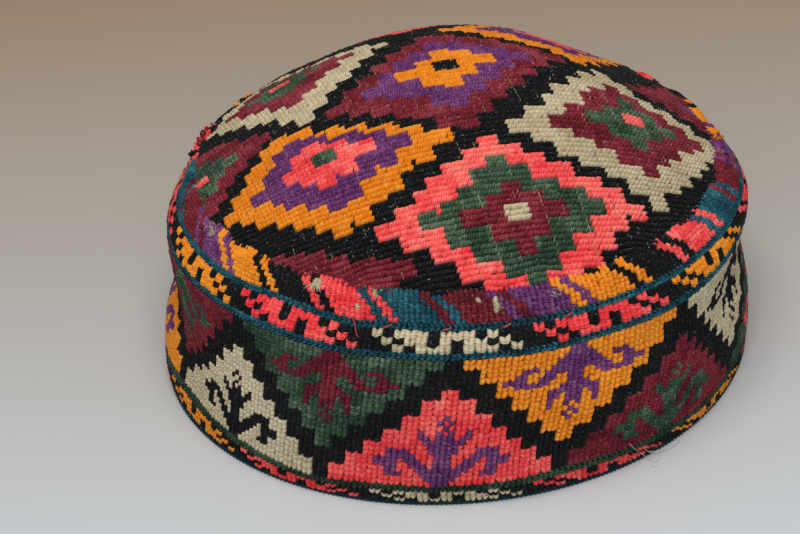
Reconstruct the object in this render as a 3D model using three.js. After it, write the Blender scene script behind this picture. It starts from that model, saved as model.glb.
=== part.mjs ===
// Embroidered nomad hat: a round pillbox cap of counted stitches on cotton canvas.
// Three sewn pieces: a domed crown disc, a side band that folds over at the shoulder to meet it,
// and an edging overcast along the rim. Millimetres, +Z up, the hat stands on its rim.
// The wearer's front faces -Y. Turn angles start at the front and grow towards +X.
import * as THREE from "three";

// Driving sizes.
const baseRadius = 91; // nominal radius of the band at the rim, outside
const bandHeight = 62.2; // floor to the seam between band and crown
const crownRise = 32.6; // seam to the top of the dome
const bandWall = 2.3; // canvas and the stitches on both sides of it
const crownWall = 2.3;
const seamGap = 0.3; // sewing gap between two pieces
const seamLean = 62; // degrees, how steeply the two seam edges dive inwards
const edgingReach = 0.5; // how far the overcast rim edging stands proud of each face of the wall
const edgingHeight = 1.4;
const turns = 90; // steps round the hat

// Outer profile of the side band. Radius is a share of baseRadius, height of bandHeight.
// Shift is how far the ring sits to the right and to the back, as shares of baseRadius; oval
// stretches it along the direction ovalTurn, in degrees. The hem sits on the edging.
const hemHeight = (edgingHeight + seamGap) / bandHeight;
const bandSections = [
  { name: "hem", radius: 0.982, height: hemHeight, right: -0.008, back: -0.003, oval: 0.02, ovalTurn: -55 },
  { name: "green line", radius: 0.986, height: 0.092, right: -0.01, back: -0.003, oval: 0.014, ovalTurn: -52 },
  { name: "low belly", radius: 0.986, height: 0.22, right: -0.009, back: -0.001, oval: 0.008, ovalTurn: -40 },
  { name: "belly", radius: 0.981, height: 0.36, right: -0.007, back: 0.001, oval: 0.006, ovalTurn: -30 },
  { name: "high belly", radius: 0.973, height: 0.5, right: -0.004, back: 0.002, oval: 0.005, ovalTurn: -20 },
  { name: "waist", radius: 0.961, height: 0.64, right: 0, back: 0.003, oval: 0.003, ovalTurn: 0 },
  { name: "lower line", radius: 0.954, height: 0.762, right: 0.003, back: 0.003, oval: 0.003, ovalTurn: 20 },
  { name: "border", radius: 0.938, height: 0.824, right: 0.007, back: 0, oval: 0.002, ovalTurn: 0 },
  { name: "upper line", radius: 0.912, height: 0.872, right: 0.01, back: -0.003, oval: 0.005, ovalTurn: 70 },
  { name: "shoulder", radius: 0.893, height: 0.93, right: 0.009, back: -0.003, oval: 0.002, ovalTurn: 40 },
  { name: "fold", radius: 0.872, height: 0.981, right: 0.007, back: -0.002, oval: 0.004, ovalTurn: 35 },
  { name: "seam", radius: 0.852, height: 0.995, right: 0.005, back: 0.001, oval: 0.008, ovalTurn: 35 },
];

// Hollows and swellings of the worn cloth. Push is outwards, as a share of baseRadius; height is a
// share of bandHeight; wide is in degrees, tall a share of bandHeight.
const bandDents = [
  { name: "sunken left panel", turn: -88, height: 0.45, push: -0.043, wide: 30, tall: 0.15 },
  { name: "pinch under right line", turn: 86, height: 0.58, push: -0.028, wide: 30, tall: 0.14 },
  { name: "right shoulder swell", turn: 82, height: 0.84, push: 0.014, wide: 26, tall: 0.1 },
  { name: "sag behind", turn: 165, height: 0.55, push: -0.014, wide: 34, tall: 0.25 },
];

// Shape of the crown: share is the way from the top to the seam, and the dome falls by share to the
// power domePower. Dents press it down by shares of crownRise.
const domePower = 1.94;
const crownShares = [0, 0.12, 0.26, 0.4, 0.54, 0.67, 0.78, 0.87, 0.94, 1];
const crownDents = [
  { name: "low left back", turn: -125, share: 0.75, push: -0.033, wide: 45, tall: 0.3 },
  { name: "low right back", turn: 112, share: 0.82, push: -0.09, wide: 34, tall: 0.26 },
];
const dentFade = 0.25; // share of the way over which the dents die out at the top and at the seam

// Half of the edging's outline, from the floor up: across is a share of its half width, up of its
// height. The foot is pressed flat on the floor.
const edgingOutline = [
  { name: "foot", across: 0.62, up: 0 },
  { name: "lower side", across: 0.9, up: 0.2 },
  { name: "side", across: 1, up: 0.52 },
  { name: "upper side", across: 0.78, up: 0.86 },
  { name: "crest", across: 0.44, up: 1 },
];

const degree = Math.PI / 180;

// Angle between two turns, in degrees, the short way round.
function turnBetween(turn, other) {
  return ((turn - other + 540) % 360) - 180;
}

// Sum of soft hollows at one place; along is the field that says where a row lies upwards.
function pressed(dents, along, turn, place) {
  let sum = 0;
  for (const dent of dents) {
    const around = turnBetween(turn, dent.turn) / dent.wide;
    const up = (place - dent[along]) / dent.tall;
    sum += dent.push * Math.exp(-around * around - up * up);
  }
  return sum;
}

// One place on the band's outer face.
function bandPoint(section, turn) {
  const oval = 1 + section.oval * Math.cos(2 * (turn - section.ovalTurn) * degree);
  const dent = pressed(bandDents, "height", turn, section.height);
  const radius = baseRadius * (section.radius * oval + dent);
  const x = baseRadius * section.right + radius * Math.sin(turn * degree);
  const y = baseRadius * section.back - radius * Math.cos(turn * degree);
  return new THREE.Vector3(x, y, bandHeight * section.height);
}

// Direction away from the hat's axis at one turn.
function outward(turn) {
  return new THREE.Vector3(Math.sin(turn * degree), -Math.cos(turn * degree), 0);
}

// Both seam edges dive inwards along this direction, so that they stay parallel.
function seamDive(turn) {
  const lean = seamLean * degree;
  return outward(turn).multiplyScalar(-Math.cos(lean)).add(new THREE.Vector3(0, 0, -Math.sin(lean)));
}

// Across the seam, from the band's edge to the crown's edge.
function seamAcross(turn) {
  const lean = seamLean * degree;
  return outward(turn).multiplyScalar(-Math.sin(lean)).add(new THREE.Vector3(0, 0, Math.cos(lean)));
}

// The outer rows of the band at one turn, and the same rows moved in by the wall.
function bandColumn(turn) {
  const outer = bandSections.map((section) => bandPoint(section, turn));
  const inner = outer.map((point, row) => {
    if (row === outer.length - 1) {
      return point.clone().addScaledVector(seamDive(turn), bandWall);
    }
    const below = outer[Math.max(row - 1, 0)];
    const above = outer[row + 1];
    const rise = new THREE.Vector2(
      above.clone().sub(below).dot(outward(turn)),
      above.z - below.z,
    ).normalize();
    const inwards = outward(turn).multiplyScalar(-rise.y).add(new THREE.Vector3(0, 0, rise.x));
    return point.clone().addScaledVector(inwards, bandWall);
  });
  inner[0].z = outer[0].z;
  return [...outer, ...inner.reverse()];
}

// The crown's outer face: straight rays from the top to the seam, lifted into a dome.
function crownPoint(share, turn) {
  const edge = bandPoint(bandSections[bandSections.length - 1], turn);
  edge.addScaledVector(seamAcross(turn), seamGap);
  const seam = bandSections[bandSections.length - 1];
  const middle = new THREE.Vector3(baseRadius * seam.right, baseRadius * seam.back, edge.z);
  const point = middle.lerp(edge, share);
  const fade = Math.min(share / dentFade, (1 - share) / dentFade, 1);
  const dent = pressed(crownDents, "share", turn, share) * fade;
  point.z += crownRise * (1 - share ** domePower + dent);
  return point;
}

// The crown at one turn, from the top outside, round the seam edge, to the top inside.
function crownColumn(turn) {
  const outer = crownShares.map((share) => crownPoint(share, turn));
  const inner = crownShares.map((share, row) => {
    const point = outer[row].clone();
    if (share === 1) {
      return point.addScaledVector(seamDive(turn), crownWall);
    }
    const fall = crownRise * domePower * share ** (domePower - 1);
    const reach = outer[outer.length - 1].clone().sub(outer[0]).setZ(0).length();
    const tilt = Math.atan2(fall, reach);
    point.addScaledVector(outward(turn), -Math.sin(tilt) * crownWall);
    point.z -= Math.cos(tilt) * crownWall;
    return point;
  });
  return [...outer, ...inner.reverse()];
}

// The edging grips the hem: flat on the floor, rounded at both sides and on top.
function edgingColumn(turn) {
  const hem = bandPoint(bandSections[0], turn);
  const middle = hem.clone().addScaledVector(outward(turn), -bandWall / 2).setZ(0);
  const half = bandWall / 2 + edgingReach;
  const corner = (side, { across, up }) =>
    middle.clone().addScaledVector(outward(turn), side * half * across).setZ(edgingHeight * up);
  const outer = edgingOutline.map((row) => corner(1, row));
  const inner = edgingOutline.map((row) => corner(-1, row));
  return [...outer, ...inner.reverse()];
}

// A closed ring: every column is a closed loop of points.
function ringGeometry(column) {
  const columns = Array.from({ length: turns }, (_, step) => column((step * 360) / turns));
  const rows = columns[0].length;
  const positions = columns.flat().flatMap((point) => point.toArray());
  const index = [];
  for (let step = 0; step < turns; step += 1) {
    const next = (step + 1) % turns;
    for (let row = 0; row < rows; row += 1) {
      const up = (row + 1) % rows;
      const corners = [step * rows + row, next * rows + row, next * rows + up, step * rows + up];
      index.push(corners[0], corners[1], corners[2], corners[0], corners[2], corners[3]);
    }
  }
  return indexed(positions, index);
}

// A closed bowl: every column starts and ends at a point that all columns share.
function bowlGeometry(column) {
  const columns = Array.from({ length: turns }, (_, step) => column((step * 360) / turns));
  const last = columns[0].length - 1;
  const positions = [...columns[0][0].toArray(), ...columns[0][last].toArray()];
  const rows = last - 1;
  for (const points of columns) {
    positions.push(...points.slice(1, last).flatMap((point) => point.toArray()));
  }
  const index = [];
  for (let step = 0; step < turns; step += 1) {
    const here = 2 + step * rows;
    const next = 2 + ((step + 1) % turns) * rows;
    index.push(0, here, next);
    index.push(1, next + rows - 1, here + rows - 1);
    for (let row = 0; row < rows - 1; row += 1) {
      index.push(here + row, here + row + 1, next + row + 1);
      index.push(here + row, next + row + 1, next + row);
    }
  }
  return indexed(positions, index);
}

function indexed(positions, index) {
  const geometry = new THREE.BufferGeometry();
  geometry.setAttribute("position", new THREE.Float32BufferAttribute(positions, 3));
  geometry.setIndex(index);
  geometry.computeVertexNormals();
  return geometry;
}

function cloth(name, geometry, color) {
  const mesh = new THREE.Mesh(geometry, new THREE.MeshStandardMaterial({ color, roughness: 0.9, metalness: 0 }));
  mesh.name = name;
  return mesh;
}

const hat = new THREE.Group();
hat.add(cloth("side_band", ringGeometry(bandColumn), 0x1d1f22));
hat.add(cloth("crown_disc", bowlGeometry(crownColumn), 0xd9544f));
hat.add(cloth("rim_edging", ringGeometry(edgingColumn), 0x1c3b38));

// The rim's middle stands at the origin, whatever the shifts and dents above do to the outline.
const middle = new THREE.Box3().setFromObject(hat).getCenter(new THREE.Vector3());
hat.position.set(-middle.x, -middle.y, 0);

export default hat;
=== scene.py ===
import bpy
import numpy as np
from mathutils import Matrix, Vector


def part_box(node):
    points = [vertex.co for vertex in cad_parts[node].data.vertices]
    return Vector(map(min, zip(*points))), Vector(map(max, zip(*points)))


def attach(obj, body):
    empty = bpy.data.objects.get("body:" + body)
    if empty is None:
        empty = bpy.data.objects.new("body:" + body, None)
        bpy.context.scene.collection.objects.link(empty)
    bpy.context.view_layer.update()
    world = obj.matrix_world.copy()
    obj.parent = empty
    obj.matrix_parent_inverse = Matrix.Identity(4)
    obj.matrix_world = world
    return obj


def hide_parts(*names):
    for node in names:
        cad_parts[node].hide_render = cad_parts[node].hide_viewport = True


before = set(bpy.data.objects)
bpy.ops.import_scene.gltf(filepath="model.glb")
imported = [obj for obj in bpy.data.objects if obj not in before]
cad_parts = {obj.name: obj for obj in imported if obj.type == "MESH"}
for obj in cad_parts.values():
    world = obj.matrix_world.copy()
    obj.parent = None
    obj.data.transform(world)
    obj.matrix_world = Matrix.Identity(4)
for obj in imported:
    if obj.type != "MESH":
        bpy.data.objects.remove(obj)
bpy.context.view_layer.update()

MM = 0.001
chance = np.random.default_rng(11)
print("nodes:", sorted(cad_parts))

# %% [markdown]
# ## Camera
# The photograph looks down on the hat by about 31 degrees, from a little left of its middle, and
# it is tipped a little to one side. A long lens keeps the far side nearly as large as the near
# side. Made first, the camera lets every later piece be judged from the right place.
# %% Camera
EYE = Vector((-16.65, -527.5, 344.8)) * MM
LOOK_DOWN = np.radians(31.32)
ROLL = np.radians(-3.31)

back = Vector((0, -np.cos(LOOK_DOWN), np.sin(LOOK_DOWN)))
level = Vector((1, 0, 0))
upward = back.cross(level)
right = level * np.cos(ROLL) + upward * np.sin(ROLL)
above = upward * np.cos(ROLL) - level * np.sin(ROLL)

camera_data = bpy.data.cameras.new("photo_camera")
camera_data.lens = 90
camera_data.sensor_width = 36
camera = bpy.data.objects.new("photo_camera", camera_data)
camera.matrix_world = Matrix.Translation(EYE) @ Matrix((right, above, back)).transposed().to_4x4()
bpy.context.scene.collection.objects.link(camera)
bpy.context.scene.camera = camera
print("camera at", [round(x, 3) for x in EYE])

# %% [markdown]
# ## Form of the side band
# The band is a ring of cloth that bellies out low down, leans in higher up and folds over at the
# shoulder to meet the crown. A short table holds its measured rings, and a smooth curve through the
# rows gives every height between them. The solids use the same table, so the cloth lies on them.
# Turns are degrees from the middle of the front, growing to the right. Along is the way up the
# cloth from the hem, in millimetres.
# %% Side band form
BASE_RADIUS = 91.0
BAND_HEIGHT = 62.2
WALL = 2.3
SEAM_GAP = 0.3

# Name, radius, height, shift right, shift back, oval, turn of the oval. Radius, shifts and oval
# are shares of BASE_RADIUS, height of BAND_HEIGHT, and the turn is in degrees.
BAND_SECTIONS = [
    ("hem", 0.982, 0.0273, -0.008, -0.003, 0.020, -55),
    ("green line", 0.986, 0.092, -0.010, -0.003, 0.014, -52),
    ("low belly", 0.986, 0.220, -0.009, -0.001, 0.008, -40),
    ("belly", 0.981, 0.360, -0.007, 0.001, 0.006, -30),
    ("high belly", 0.973, 0.500, -0.004, 0.002, 0.005, -20),
    ("waist", 0.961, 0.640, 0.000, 0.003, 0.003, 0),
    ("lower line", 0.954, 0.762, 0.003, 0.003, 0.003, 20),
    ("border", 0.938, 0.824, 0.007, 0.000, 0.002, 0),
    ("upper line", 0.912, 0.872, 0.010, -0.003, 0.005, 70),
    ("shoulder", 0.893, 0.930, 0.009, -0.003, 0.002, 40),
    ("fold", 0.872, 0.981, 0.007, -0.002, 0.004, 35),
    ("seam", 0.852, 0.995, 0.005, 0.001, 0.008, 35),
]
# Hollows of the worn cloth: name, turn, height, push outwards, width in degrees, tallness.
BAND_DENTS = [
    ("sunken left panel", -88, 0.45, -0.043, 30, 0.15),
    ("pinch under right line", 86, 0.58, -0.028, 30, 0.14),
    ("right shoulder swell", 82, 0.84, 0.014, 26, 0.10),
    ("sag behind", 165, 0.55, -0.014, 34, 0.25),
]

section_names = [row[0] for row in BAND_SECTIONS]
ring_table = np.array([row[1:] for row in BAND_SECTIONS]).T
ring_radius, ring_height, ring_right, ring_back, oval, oval_turn = ring_table
oval_angle = np.radians(2 * oval_turn)
oval_parts = oval * np.cos(oval_angle), oval * np.sin(oval_angle)
profile = np.stack([ring_radius, ring_height, ring_right, ring_back, *oval_parts])
lengths = np.hypot(np.diff(ring_radius) * BASE_RADIUS, np.diff(ring_height) * BAND_HEIGHT)
section_along = np.concatenate([[0.0], np.cumsum(lengths)])
seam_along = section_along[-1]


def along_at(name):
    """Millimetres up the cloth from the hem to a named ring."""
    return section_along[section_names.index(name)]


def smooth(knots, values, at):
    """A smooth curve through a table's rows, straight beyond its ends."""
    slopes = np.gradient(values, knots)
    inside = np.clip(at, knots[0], knots[-1])
    row = np.clip(np.searchsorted(knots, inside) - 1, 0, len(knots) - 2)
    width = knots[row + 1] - knots[row]
    t = (inside - knots[row]) / width
    level = (1 + 2 * t) * (1 - t) ** 2 * values[row] + t**2 * (3 - 2 * t) * values[row + 1]
    lean = t * (1 - t) ** 2 * width * slopes[row] - t**2 * (1 - t) * width * slopes[row + 1]
    beyond = (at - inside) * np.where(at > inside, slopes[-1], slopes[0])
    return level + lean + beyond


def turn_between(turn, other):
    """Degrees from one turn to another, the short way round."""
    return (turn - other + 180) % 360 - 180


def dented(dents, turn, place):
    """Sum of soft hollows at one place."""
    total = 0.0
    for _, at, level, push, wide, tall in dents:
        around = turn_between(turn, at) / wide
        up = (place - level) / tall
        total = total + push * np.exp(-(around**2) - up**2)
    return total


def band_form(turn, along):
    """The band's outer face in millimetres: turn in degrees from the front, along from the hem."""
    measures = [smooth(section_along, row, along) for row in profile]
    share, rise, to_right, to_back, oval_cos, oval_sin = measures
    angle = np.radians(turn)
    round_share = share * (1 + oval_cos * np.cos(2 * angle) + oval_sin * np.sin(2 * angle))
    reach = BASE_RADIUS * (round_share + dented(BAND_DENTS, turn, rise))
    x = BASE_RADIUS * to_right + reach * np.sin(angle)
    y = BASE_RADIUS * to_back - reach * np.cos(angle)
    return np.stack([x, y, BAND_HEIGHT * rise + 0 * reach], axis=-1)


print("cloth from hem to seam:", round(seam_along, 1), "mm")

# %% [markdown]
# ## Form of the crown
# The crown is one disc of canvas, drawn up into a low dome by the seam round its edge. Its stitches
# were counted while it lay flat, so the pattern is worked out on the flat disc, and the distance
# from the middle is then measured along the dome.
# %% Crown form
CROWN_RISE = 32.6
DOME_POWER = 1.94
SEAM_LEAN = np.radians(62)
DENT_FADE = 0.25
PAST_SEAM = 1.04
ARC_STEPS = 131
# Name, turn, share of the way to the seam, push upwards, width in degrees, tallness.
CROWN_DENTS = [
    ("low left back", -125, 0.75, -0.033, 45, 0.30),
    ("low right back", 112, 0.82, -0.090, 34, 0.26),
]


def crown_form(share, turn):
    """The crown's outer face: share is the way from the top, 0, to the seam, 1."""
    angle = np.radians(turn)
    edge = band_form(turn, seam_along + 0 * turn)
    outward = np.stack([np.sin(angle), -np.cos(angle), 0 * angle], axis=-1)
    edge = edge - outward * SEAM_GAP * np.sin(SEAM_LEAN)
    edge[..., 2] += SEAM_GAP * np.cos(SEAM_LEAN)
    middle = np.zeros_like(edge)
    middle[..., 0] = BASE_RADIUS * ring_right[-1]
    middle[..., 1] = BASE_RADIUS * ring_back[-1]
    middle[..., 2] = edge[..., 2]
    point = middle + (edge - middle) * share[..., None]
    fade = np.clip(np.minimum(share, 1 - share) / DENT_FADE, 0, 1)
    point[..., 2] += CROWN_RISE * (1 - share**DOME_POWER + dented(CROWN_DENTS, turn, share) * fade)
    return point


share_steps = np.linspace(0, PAST_SEAM, ARC_STEPS)
mean_reach = BASE_RADIUS * ring_radius[-1] - SEAM_GAP
dome_drop = CROWN_RISE * np.diff(share_steps**DOME_POWER)
dome_pieces = np.hypot(mean_reach * np.diff(share_steps), dome_drop)
dome_arc = np.concatenate([[0.0], np.cumsum(dome_pieces)])
crown_reach = np.interp(1.0, share_steps, dome_arc)
print("crown disc laid flat:", round(2 * crown_reach, 1), "mm across")

# %% [markdown]
# ## From the tables to the frame
# The solids were centred over the origin after they were shaped, so the tables are off by under a
# millimetre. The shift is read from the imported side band. Every piece is then laid on a surface by
# its two running measures and its height above the cloth, and small puckers are added, because hand
# sewn cloth is never quite even.
# %% Laying pieces on the cloth
solid_turns = np.arange(0, 360, 4.0)
rings = [band_form(solid_turns, along + 0 * solid_turns) for along in section_along]
ring_points = np.concatenate(rings)
band_lowest, band_highest = (np.array(corner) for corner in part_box("side_band"))
table_middle = (ring_points.min(axis=0) + ring_points.max(axis=0)) / 2
shift = (band_lowest + band_highest) / 2 / MM - table_middle
shift[2] = 0.0

# The rows of the worn band are no longer level. Name, turn, millimetres up the cloth, slide upwards
# in millimetres, width in degrees, tallness in millimetres.
BAND_SLIDES = [
    ("high border on the left", -40, 53, 1.5, 8.5, 6.5),
    ("low border beside it", -22, 52, -0.5, 4, 6),
    ("nick in the green line", -7.5, 4.2, -0.8, 1.1, 2.5),
    ("raised foot on the far left", -73, 11, 6.0, 20, 10),
    ("low foot on the left", -29, 5, -1.4, 8, 4),
    ("raised foot on the right", 17, 11, 1.9, 10, 8),
    ("low peak on the right", 42, 33, -3.3, 12, 10),
]
# The same for columns that are pulled aside, with the slide to the right in degrees.
BAND_SWINGS = [
    ("panels on the far left", -74, 12, 7.0, 28, 30),
    ("tip on the right", 17, 12, -1.0, 12, 12),
    ("peak on the right", 42, 35, 2.3, 12, 12),
]

# Size in millimetres, waves round the hat, and start in radians.
SEAM_PUCKERS = [(0.35, 23, 1), (0.25, 37, 2)]
CROWN_GATHERS = [(0.4, 31, 0), (0.3, 19, 2)]
PUCKER_REACH = 5.0
GATHER_REACH = 7.0
# Size in millimetres, waves round the hat, and millimetres up the cloth for each radian.
CLOTH_WAVES = [(0.16, 9, 7), (0.1, 17, -5)]
CROWN_WAVE = 0.15


def puckers(waves, angle):
    """Sum of small even waves round the hat, in millimetres."""
    return sum(size * np.sin(number * angle + start) for size, number, start in waves)


def band_place(turn, along):
    """The band's face with its rows out of level, the seam's puckers and the cloth's waves."""
    swing = dented(BAND_SWINGS, turn, along)
    slide = dented(BAND_SLIDES, turn, along)
    turn, along = turn + swing, along + slide
    point = band_form(turn, along)
    angle = np.radians(turn)
    pucker = np.exp(-(((seam_along - along) / PUCKER_REACH) ** 2)) * puckers(SEAM_PUCKERS, angle)
    wave = sum(size * np.sin(number * angle + along / length) for size, number, length in CLOTH_WAVES)
    point[..., 0] += (pucker + wave) * np.sin(angle)
    point[..., 1] -= (pucker + wave) * np.cos(angle)
    point[..., 2] += pucker
    return point


# The crown's grid: its turn, the lean of its columns, the size of a stitch in millimetres, and how
# its rows bend and tilt.
GRID_TURN = np.radians(7.5)
COLUMN_LEAN = np.tan(np.radians(8.0))
STITCH = 1.45
ROW = 1.77
ROW_BEND = 0.0014
ROW_TILT = 0.03


def turned(x, y, angle):
    """A flat place, turned about the crown's top."""
    return x * np.cos(angle) - y * np.sin(angle), x * np.sin(angle) + y * np.cos(angle)


def flat_from_grid(across, up):
    """Millimetres on the flat crown from stitches across and rows up: rows bend, columns lean."""
    level = up * ROW
    x = across * STITCH - level * COLUMN_LEAN
    return x, level + ROW_BEND * x**2 + ROW_TILT * x


def grid_from_flat(x, y):
    """Stitches across and rows up, from millimetres on the flat crown."""
    level = y - ROW_BEND * x**2 - ROW_TILT * x
    return (x + level * COLUMN_LEAN) / STITCH, level / ROW


def crown_place(across, up):
    """The crown's face at one place of the stitch grid, with the gathers along the seam."""
    x, y = turned(*flat_from_grid(across, up), GRID_TURN)
    distance = np.hypot(x, y)
    angle = np.arctan2(x, -y)
    point = crown_form(np.interp(distance, dome_arc, share_steps), np.degrees(angle))
    near_seam = np.exp(-(((crown_reach - distance) / GATHER_REACH) ** 2))
    gather = near_seam * puckers(CROWN_GATHERS, angle)
    point[..., 2] += gather + CROWN_WAVE * np.sin(across / 5 + 1) * np.sin(up / 4)
    return point


def lay(place, u, v, proud):
    """Points in metres that stand proud of a surface by some millimetres, along its normal."""
    step = 0.05
    along_u = place(u + step, v) - place(u - step, v)
    along_v = place(u, v + step) - place(u, v - step)
    normal = np.cross(along_u, along_v)
    normal /= np.linalg.norm(normal, axis=-1, keepdims=True)
    return (place(u, v) + shift + normal * proud[..., None]) * MM


print("shift of the tables:", np.round(shift, 3), "mm")

# %% [markdown]
# ## Colours and nodes
# Colours are sRGB hex values. Blender shades in linear light, so one function turns each value
# over. Another adds a node with its settings and its links, and a few short ones name what the
# cloths below need of it.
# %% Colour and node helpers
def linear(code):
    """Linear RGBA of an sRGB hex colour."""
    parts = [int(code[i : i + 2], 16) / 255 for i in (1, 3, 5)]
    return [p / 12.92 if p <= 0.04045 else ((p + 0.055) / 1.055) ** 2.4 for p in parts] + [1.0]


def add_node(tree, kind, settings=None, **inputs):
    """Adds one node. An input is a number, a colour or another node's output."""
    node = tree.nodes.new(kind)
    for name, value in (settings or {}).items():
        setattr(node, name, value)
    for name, value in inputs.items():
        key = int(name[1:]) if name[1:].isdigit() else name.replace("_", " ")
        socket = node.inputs[key]
        if isinstance(value, bpy.types.NodeSocket):
            tree.links.new(value, socket)
        else:
            socket.default_value = value
    return node


def calculate(tree, operation, *values):
    """The result of one sum on numbers or on other nodes' outputs."""
    inputs = {f"_{number}": value for number, value in enumerate(values)}
    return add_node(tree, "ShaderNodeMath", {"operation": operation}, **inputs).outputs[0]


def stored(tree, name, kind="Fac"):
    """A value that the mesh stores at each of its points."""
    return add_node(tree, "ShaderNodeAttribute", {"attribute_name": name}).outputs[kind]


def noise(tree, size, detail, roughness=0.5):
    """Soft noise that stays with the cloth. Its largest patches are size millimetres wide."""
    place = add_node(tree, "ShaderNodeTexCoord").outputs["Object"]
    settings = {"Scale": 1 / (size * MM), "Detail": detail, "Roughness": roughness}
    return add_node(tree, "ShaderNodeTexNoise", Vector=place, **settings).outputs["Fac"]


def fade(tree, level, stops):
    """The colour at a level. Stops are places from 0 to 1 with their sRGB colours."""
    node = add_node(tree, "ShaderNodeValToRGB", Fac=level)
    marks = node.color_ramp.elements
    for mark, (place, code) in ((marks[0], stops[0]), (marks[1], stops[-1])):
        mark.position = place
        mark.color = linear(code)
    for place, code in stops[1:-1]:
        marks.new(place).color = linear(code)
    return node.outputs["Color"]


def blend(tree, share, first, second):
    """The colour that is a share of the way from the first to the second."""
    mix = add_node(tree, "ShaderNodeMix", {"data_type": "RGBA"}, _0=share, _6=first, _7=second)
    return mix.outputs[2]


def new_material(name, **settings):
    """A material, its node tree and its shader. Settings are the shader's inputs by name."""
    material = bpy.data.materials.new(name)
    material.use_nodes = True
    shader = material.node_tree.nodes["Principled BSDF"]
    for key, value in settings.items():
        shader.inputs[key.replace("_", " ")].default_value = value
    return material, material.node_tree, shader


def finish_cloth(tree, shader, colour, relief, strength, depth):
    """Gives the shader its colour and its bump, whose depth is in millimetres."""
    tree.links.new(colour, shader.inputs["Base Color"])
    bump = add_node(tree, "ShaderNodeBump", Strength=strength, Distance=depth * MM, Height=relief)
    tree.links.new(bump.outputs["Normal"], shader.inputs["Normal"])


# Wool and cotton share a matte, slightly hairy surface.
HAIRY = {"Sheen_Roughness": 0.45, "IOR": 1.5, "Specular_IOR_Level": 0.16}

# %% [markdown]
# ## Dyed wool
# The embroidery wool is a soft two ply yarn with a matte face. Its dye took unevenly and has faded
# where the cap was rubbed, so every length of yarn is a little lighter or darker, and that tone is
# what keeps the eye from seeing flat fields of colour. Each stitch carries it as an attribute. The
# plies and the fibres are finer than the geometry of a stitch, so they are bump: plies about 1 mm
# apart, fibres of half a millimetre and less. The grooves between the plies also get painted shade
# in the colour. Pale lint speckles the wool and gives it its old and dusty look, and painted sheen
# makes the speckles paler where the wool faces up.
# %% Wool materials
# Name, slot, dark, main and light sRGB colour, and how much lengths of yarn differ in tone.
WOOLS = [
    ("black", "black_wool", "#030405", "#090b0d", "#1f2225", 0.15),
    ("coral", "coral_wool", "#e02e38", "#f75a57", "#fb9486", 0.50),
    ("orange", "orange_wool", "#bd5c08", "#ea8812", "#f4a33a", 0.20),
    ("purple", "purple_wool", "#3a1644", "#672d68", "#925e88", 0.25),
    ("maroon", "maroon_wool", "#480a18", "#7a1e2a", "#9c4450", 0.40),
    ("green", "green_wool", "#182c20", "#38513c", "#6f8468", 0.45),
    ("teal", "teal_wool", "#07262f", "#17505f", "#3f7d8a", 0.40),
    ("cream", "cream_cotton", "#9c8c6c", "#c1b28f", "#ddd2b6", 0.20),
]
# Grooves between plies for each stitch, their painted shade and their depth, and the share of lint
# and painted sheen.
PLIES = 1.8
GROOVE_SHADE = 0.35
GROOVE_RELIEF = 0.6
LINT_AND_SHEEN = 0.6
LINT_AND_SHEEN_COLOUR = "#cfc3b2"
FIBRE_SIZE = 0.5
LINT_SIZE = 0.9


def wool(name, dark, main, light):
    """Yarn of one colour. The tone attribute runs from -1, dark, to 1, light."""
    settings = {"Roughness": 0.85, "Sheen_Weight": 0.04}
    material, tree, shader = new_material("wool_yarn_" + name, **settings, **HAIRY)
    # Fibres vary the stitch's own tone at random. The grooves between the plies get painted shade, and
    # their backs get painted highlight.
    fibres = noise(tree, FIBRE_SIZE, detail=3.0, roughness=0.7)
    fibre_tone = calculate(tree, "MULTIPLY_ADD", fibres, 4.0, -2.0)
    turns = calculate(tree, "MULTIPLY", stored(tree, "ply"), PLIES * 2 * np.pi)
    groove = calculate(tree, "COSINE", turns)
    strand = calculate(tree, "MULTIPLY_ADD", groove, GROOVE_SHADE, stored(tree, "tone"))
    level = calculate(tree, "ADD", strand, fibre_tone)
    spread = add_node(tree, "ShaderNodeMapRange", Value=level, From_Min=-1.0, From_Max=1.0)
    dyed = fade(tree, spread.outputs["Result"], [(0.0, dark), (0.5, main), (1.0, light)])
    # Only the highest places of the noise catch lint, and painted sheen makes these pale places stronger
    # on faces that point up.
    hairs = noise(tree, LINT_SIZE, detail=4.0, roughness=0.8)
    caught = add_node(tree, "ShaderNodeMapRange", Value=hairs, From_Min=0.6, From_Max=0.7, To_Max=LINT_AND_SHEEN)
    facing = add_node(tree, "ShaderNodeNewGeometry").outputs["Normal"]
    rise = add_node(tree, "ShaderNodeSeparateXYZ", Vector=facing).outputs["Z"]
    sheen_facing_up = add_node(tree, "ShaderNodeMapRange", Value=rise, From_Min=0.1, From_Max=0.9, To_Min=0.25)
    lint_and_sheen = calculate(tree, "MULTIPLY", caught.outputs["Result"], sheen_facing_up.outputs["Result"])
    # Pale lint, with painted sheen on faces that point up, is mixed over the dyed colour.
    dusty_and_sheen = blend(tree, lint_and_sheen, dyed, linear(LINT_AND_SHEEN_COLOUR))
    relief = calculate(tree, "MULTIPLY_ADD", groove, GROOVE_RELIEF, fibres)
    finish_cloth(tree, shader, dusty_and_sheen, relief, strength=0.7, depth=0.12)
    return material


wools = {name: wool(name, *codes) for name, _, *codes, _ in WOOLS}
unevenness = {name: uneven for name, *_, uneven in WOOLS}
print("wool colours:", list(wools))

# %% [markdown]
# ## Cotton canvas
# The ground is undyed cotton in plain weave. It makes the inside of the cap paler and plainer than
# the outside. Two crossed waves make the weave, one wave to 0.8 mm, and a slow noise soils it a
# little. The face under the stitches is painted nearly black as shade, so that the gaps between them
# look deep.
# %% Canvas material
THREAD = 0.8
WEAVE_TONE = 0.12
SOIL_SIZE = 14
# Painted shade: the canvas face under the stitches takes this nearly black colour, so the gaps look
# deep.
PAINTED_SHADE_UNDER_STITCHES = "#1d1815"


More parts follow.
